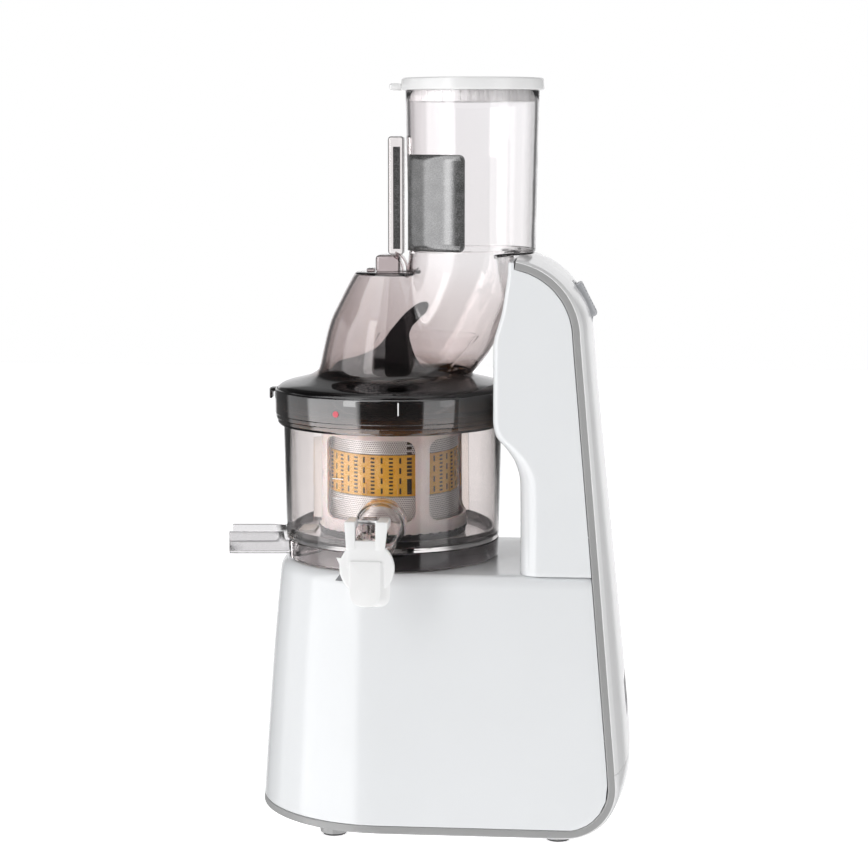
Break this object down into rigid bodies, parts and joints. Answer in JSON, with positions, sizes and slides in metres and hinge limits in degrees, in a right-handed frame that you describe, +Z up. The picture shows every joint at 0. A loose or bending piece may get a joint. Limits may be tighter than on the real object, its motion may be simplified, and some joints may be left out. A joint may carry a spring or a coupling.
{
  "type": "slow juicer",
  "caption": "Upright slow juicer: C-shaped white housing, clear bowl with strainer and auger, twist-on clear hopper with a wide feed chute.",
  "frame": {"origin": "centre of the footprint's box, on the surface that the feet stand on", "axes": "+Z up; -Y is the user's side with the juice cap; -X is where the pulp spout points; +X is the rear cover"},
  "size_m": [0.2792, 0.2134, 0.509],
  "materials": {
    "white_housing": "gloss",
    "silver_trim": "satin",
    "smoke_clear": "clear smoke, polished",
    "clear": "clear, polished",
    "amber": "translucent amber",
    "steel": "brushed",
    "steel_mesh": "perforated",
    "dark_plastic": "matt",
    "grey_plastic": "satin",
    "grey_film": "satin film",
    "rubber": "matt",
    "silicone": "matt",
    "board": "satin",
    "ivory_plastic": "satin"
  },
  "bodies": {
    "base": {"lower_housing": "white_housing", "column_shell": "white_housing", "rear_cover": "white_housing", "base_pan": "white_housing", "trim_band": "silver_trim", "foot_front_left": "silver_trim", "foot_front_right": "silver_trim", "foot_rear_left": "silver_trim", "foot_rear_right": "silver_trim", "foot_pad_front_left": "rubber", "foot_pad_front_right": "rubber", "foot_pad_rear_left": "rubber", "foot_pad_rear_right": "rubber", "motor_can": "steel", "motor_end_cap": "steel", "motor_stator": "dark_plastic", "gearbox_plate": "steel", "gearbox_cover": "grey_plastic", "shaft_bearing": "steel", "idler_pin": "steel", "deck_seal": "rubber", "switch_bezel": "dark_plastic", "switch_body": "dark_plastic", "vent_grille": "dark_plastic", "control_board": "board", "lid_sensor": "dark_plastic"},
    "rocker": {"rocker_switch": "grey_plastic"},
    "motor": {"motor_rotor": "steel", "motor_pinion": "steel", "cooling_fan": "grey_plastic"},
    "idler": {"idler_gear": "ivory_plastic"},
    "drive": {"output_gear": "steel", "drive_shaft": "steel"},
    "bowl": {"juice_bowl": "smoke_clear", "bowl_foot_ring": "smoke_clear", "bowl_bottom_seal": "silicone", "bowl_rim_seal": "silicone", "pulp_plug": "silicone", "pulp_spout": "clear", "strainer_frame": "ivory_plastic", "strainer_mesh_lower": "steel_mesh", "strainer_band": "amber", "strainer_mesh_upper": "steel_mesh", "cap_hinge_pin": "steel"},
    "cap": {"juice_cap": "white_housing", "cap_seal": "silicone"},
    "auger": {"auger": "ivory_plastic", "auger_top_pin": "steel"},
    "brush": {"brush_frame": "ivory_plastic", "brush_gear": "dark_plastic", "wiper_blade_1": "amber", "wiper_blade_2": "amber"},
    "hopper": {"hopper_shell": "smoke_clear", "lid_ring": "smoke_clear", "feed_funnel": "clear", "label_plate": "grey_film", "chute_grip": "clear", "lid_lug": "smoke_clear"},
    "rim": {"feed_rim": "white_housing"}
  },
  "joints": [
    {"name": "drive_spin", "type": "hinge", "parent": "base", "child": "drive", "pos_m": [-0.026, 0.01525, 0.15], "axis": [0, 0, 1], "continuous": true},
    {"name": "idler_spin", "type": "hinge", "parent": "base", "child": "idler", "pos_m": [0.024, 0.01525, 0.11], "axis": [0, 0, 1], "continuous": true},
    {"name": "motor_spin", "type": "hinge", "parent": "base", "child": "motor", "pos_m": [-0.0174, 0.01525, 0.06], "axis": [0, 0, 1], "continuous": true},
    {"name": "rocker_tilt", "type": "hinge", "parent": "base", "child": "rocker", "pos_m": [0.1023, 0.01525, 0.358], "axis": [0, 1, 0], "range_deg": [-7, 7]},
    {"name": "bowl_lift", "type": "slide", "parent": "base", "child": "bowl", "axis": [0, 0, 1], "range_m": [0, 0.34]},
    {"name": "auger_spin", "type": "hinge", "parent": "bowl", "child": "auger", "pos_m": [-0.026, 0.01525, 0.25], "axis": [0, 0, 1], "continuous": true},
    {"name": "brush_spin", "type": "hinge", "parent": "bowl", "child": "brush", "pos_m": [-0.026, 0.01525, 0.24], "axis": [0, 0, 1], "continuous": true},
    {"name": "cap_open", "type": "hinge", "parent": "bowl", "child": "cap", "pos_m": [-0.0305, -0.08725, 0.2215], "axis": [-1, 0, 0], "range_deg": [0, 95]},
    {"name": "hopper_twist", "type": "hinge", "parent": "bowl", "child": "hopper", "pos_m": [-0.026, 0.01525, 0.3], "axis": [0, 0, 1], "range_deg": [0, 30]},
    {"name": "rim_lift", "type": "slide", "parent": "hopper", "child": "rim", "axis": [0, 0, 1], "range_m": [0, 0.06]}
  ],
  "couplings": [
    {"joint": "idler_spin", "follows": "drive_spin", "ratio": -4.2553},
    {"joint": "motor_spin", "follows": "drive_spin", "ratio": 21.277},
    {"joint": "auger_spin", "follows": "drive_spin", "ratio": 1},
    {"joint": "brush_spin", "follows": "drive_spin", "ratio": 0.4}
  ]
}
